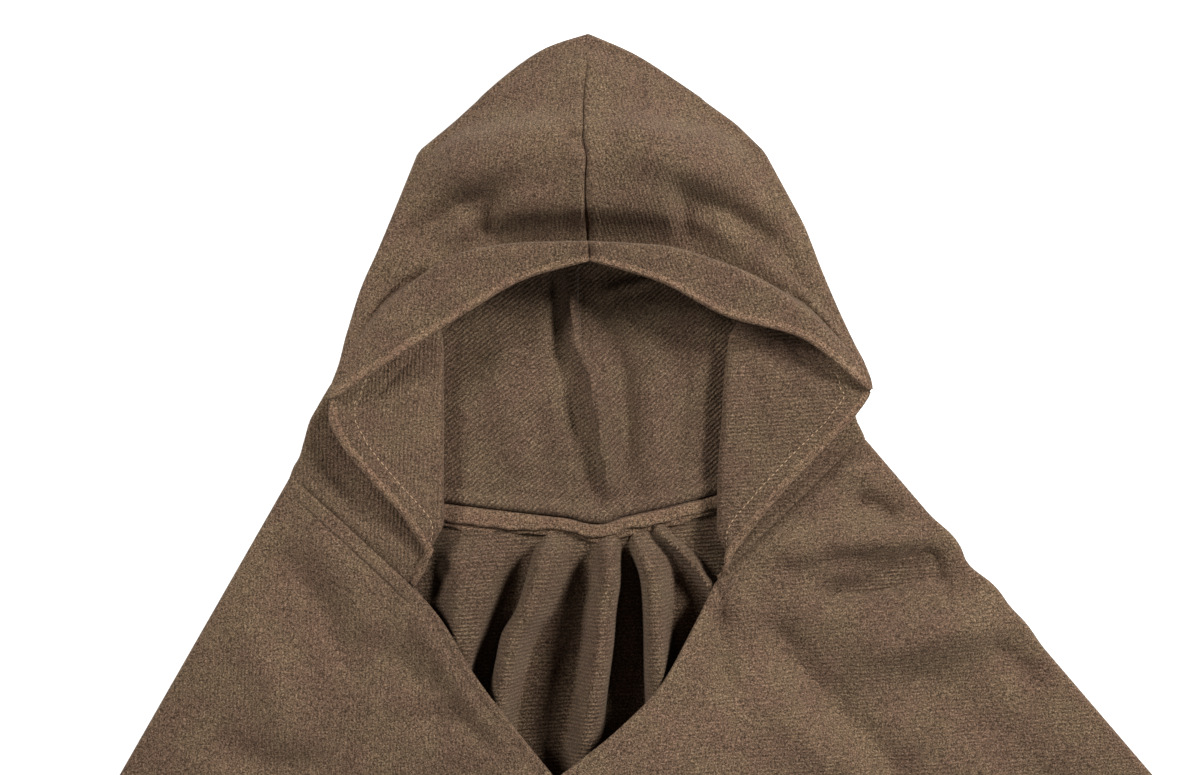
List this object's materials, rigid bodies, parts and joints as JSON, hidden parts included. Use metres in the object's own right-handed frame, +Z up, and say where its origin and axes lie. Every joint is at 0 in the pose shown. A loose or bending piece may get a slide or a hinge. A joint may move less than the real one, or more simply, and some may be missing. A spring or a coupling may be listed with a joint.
{
  "type": "hooded poncho",
  "caption": "Long hooded wool poncho laid flat on its back, hood open towards the viewer, V neck, plain hem.",
  "frame": {"origin": "on the floor, at the middle of the garment's outline seen from above", "axes": "+Z up off the floor and out of the chest, +Y from the neck to the tip of the hood, +X to the right as seen from above"},
  "size_m": [1.3478, 1.2672, 0.0672],
  "materials": {
    "hood_cloth": "brown heathered twill wool",
    "body_cloth": "brown heathered twill wool",
    "seam_cloth": "turned down wool seam allowances"
  },
  "bodies": {
    "root": {"hood_left": "hood_cloth", "hood_right": "hood_cloth", "body_front": "body_cloth", "body_back": "body_cloth", "neck_seam": "seam_cloth"}
  },
  "joints": []
}
